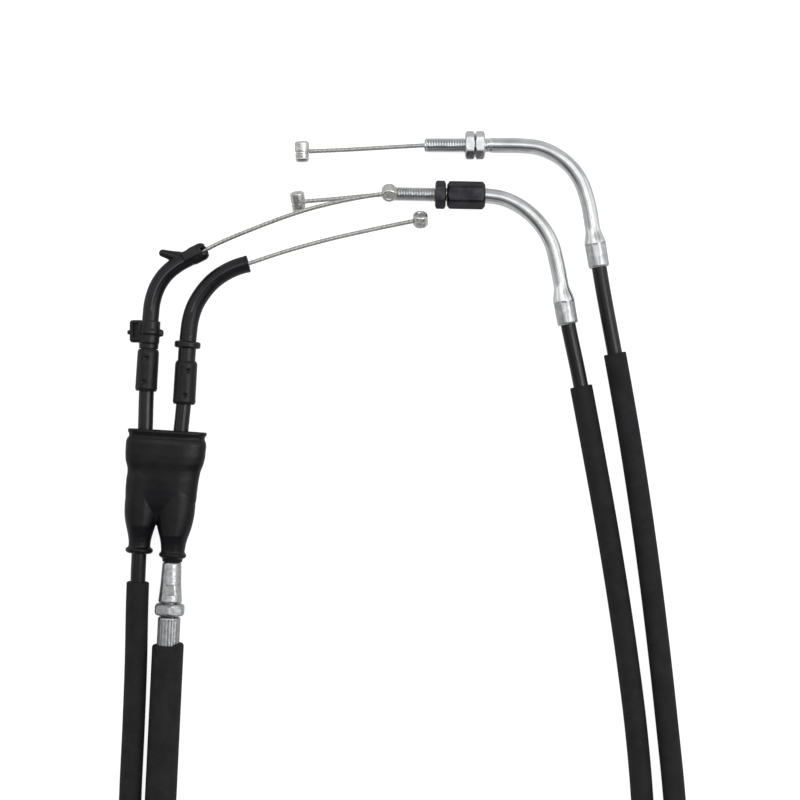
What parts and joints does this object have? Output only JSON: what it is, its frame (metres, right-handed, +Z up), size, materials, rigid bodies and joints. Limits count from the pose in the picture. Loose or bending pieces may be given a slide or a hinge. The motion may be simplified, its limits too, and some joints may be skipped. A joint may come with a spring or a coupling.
{
  "type": "throttle cable pair",
  "caption": "Pull and return throttle cables for a motorcycle, with moulded grip elbows, a shared dust boot, an in-line adjuster and bent steel throttle pipes.",
  "frame": {"origin": "middle of the rigid pieces in plan, on the surface that the cables lie on", "axes": "+Z up from the surface, +X from the grip ends to the throttle-body ends, +Y towards the bare wires"},
  "size_m": [0.2289, 0.4079, 0.0162],
  "materials": {
    "zinc_steel": "bright zinc-plated steel",
    "cast_zinc": "cast zinc alloy",
    "black_steel": "black oxide steel",
    "wire_rope": "stranded stainless wire",
    "spring_steel": "flat spring-steel winding",
    "nylon": "moulded black nylon",
    "boot_rubber": "moulded EPDM rubber",
    "sleeve_rubber": "extruded rubber hose, matt",
    "vinyl": "extruded PVC jacket",
    "liner_plastic": "extruded polymer liner"
  },
  "bodies": {
    "root": {"return_grip_elbow": "nylon", "return_elbow_clip": "nylon", "return_grip_ferrule": "black_steel", "return_jacket": "vinyl", "return_winding": "spring_steel", "return_liner": "liner_plastic", "return_sleeve": "sleeve_rubber", "return_inner_wire": "wire_rope", "return_throttle_pipe": "zinc_steel", "pull_grip_elbow": "nylon", "pull_elbow_collar": "nylon", "pull_grip_ferrule": "black_steel", "pull_upper_jacket": "vinyl", "pull_upper_winding": "spring_steel", "pull_upper_liner": "liner_plastic", "pull_adjuster_bolt": "zinc_steel", "pull_lower_jacket": "vinyl", "pull_lower_winding": "spring_steel", "pull_lower_liner": "liner_plastic", "pull_sleeve": "sleeve_rubber", "pull_inner_wire": "wire_rope", "pull_throttle_pipe": "zinc_steel"},
    "return_wire_grip_end": {"return_grip_nipple": "cast_zinc", "return_grip_wire": "wire_rope"},
    "return_wire_throttle_end": {"return_throttle_nipple": "cast_zinc", "return_throttle_wire": "wire_rope"},
    "pull_wire_grip_end": {"pull_grip_nipple": "cast_zinc", "pull_grip_wire": "wire_rope"},
    "pull_wire_throttle_end": {"pull_throttle_nipple": "cast_zinc", "pull_throttle_wire": "wire_rope"},
    "boot": {"double_dust_boot": "boot_rubber"},
    "conduit_end": {"pull_lower_end_cap": "nylon"},
    "adjuster_barrel": {"pull_adjuster_barrel": "zinc_steel"},
    "adjuster_lock_nut": {"pull_adjuster_lock_nut": "zinc_steel"},
    "adjuster_cover": {"pull_adjuster_cover": "sleeve_rubber"},
    "threaded_stud": {"pull_threaded_stud": "zinc_steel"},
    "throttle_adjuster": {"pull_throttle_adjuster": "black_steel"},
    "throttle_lock_nut": {"pull_throttle_lock_nut": "black_steel"},
    "inner_nut": {"return_inner_nut": "zinc_steel"},
    "outer_nut": {"return_outer_nut": "zinc_steel"}
  },
  "joints": [
    {"name": "return_wire_at_grip", "type": "slide", "parent": "root", "child": "return_wire_grip_end", "axis": [0.9874, 0.158, 0], "range_m": [-0.03, 0.008], "deforming": ["return_grip_wire"]},
    {"name": "return_wire_at_throttle", "type": "slide", "parent": "root", "child": "return_wire_throttle_end", "axis": [0.9991, 0.0416, 0], "range_m": [-0.03, 0.008], "deforming": ["return_throttle_wire"]},
    {"name": "pull_wire_at_grip", "type": "slide", "parent": "root", "child": "pull_wire_grip_end", "axis": [0.9795, 0.2017, 0], "range_m": [-0.035, 0], "deforming": ["pull_grip_wire"]},
    {"name": "pull_wire_at_throttle", "type": "slide", "parent": "root", "child": "pull_wire_throttle_end", "axis": [0.9967, 0.0808, 0], "range_m": [-0.035, 0], "deforming": ["pull_throttle_wire"]},
    {"name": "boot_slide", "type": "slide", "parent": "root", "child": "boot", "axis": [0.0584, 0.9983, 0], "range_m": [0, 0.03]},
    {"name": "conduit_end_slide", "type": "slide", "parent": "root", "child": "conduit_end", "axis": [-0.0487, -0.9988, 0], "range_m": [0, 0.00601]},
    {"name": "adjuster_barrel_turn", "type": "hinge", "parent": "conduit_end", "child": "adjuster_barrel", "pos_m": [-0.07894, -0.05739, 0.007], "axis": [-0.0487, -0.9988, 0], "range_deg": [0, 2160]},
    {"name": "adjuster_lock_nut_turn", "type": "hinge", "parent": "root", "child": "adjuster_lock_nut", "pos_m": [-0.07894, -0.05739, 0.007], "axis": [-0.0487, -0.9988, 0], "range_deg": [-180, 180]},
    {"name": "adjuster_cover_slide", "type": "slide", "parent": "root", "child": "adjuster_cover", "axis": [-0.0487, -0.9988, 0], "range_m": [0, 0.015]},
    {"name": "threaded_stud_slide", "type": "slide", "parent": "root", "child": "threaded_stud", "axis": [-0.9998, 0.0197, 0], "range_m": [0, 0.00301]},
    {"name": "throttle_adjuster_turn", "type": "hinge", "parent": "root", "child": "throttle_adjuster", "pos_m": [0.03948, 0.10976, 0.005], "axis": [-0.9998, 0.0197, 0], "range_deg": [0, 1080]},
    {"name": "throttle_lock_nut_turn", "type": "hinge", "parent": "threaded_stud", "child": "throttle_lock_nut", "pos_m": [0.02928, 0.10993, 0.005], "axis": [-0.9998, 0.0197, 0], "range_deg": [-180, 180]},
    {"name": "inner_nut_run", "type": "slide", "parent": "root", "child": "inner_nut", "axis": [-1, 0, 0], "range_m": [0, 0.008]},
    {"name": "outer_nut_run", "type": "slide", "parent": "inner_nut", "child": "outer_nut", "axis": [-1, 0, 0], "range_m": [0, 0.004]}
  ],
  "couplings": [
    {"joint": "return_wire_at_throttle", "follows": "return_wire_at_grip", "ratio": 1},
    {"joint": "pull_wire_at_throttle", "follows": "pull_wire_at_grip", "ratio": 1},
    {"joint": "conduit_end_slide", "follows": "adjuster_barrel_turn", "m_per_rad": 0.00015915},
    {"joint": "threaded_stud_slide", "follows": "throttle_adjuster_turn", "m_per_rad": 0.00015915}
  ]
}
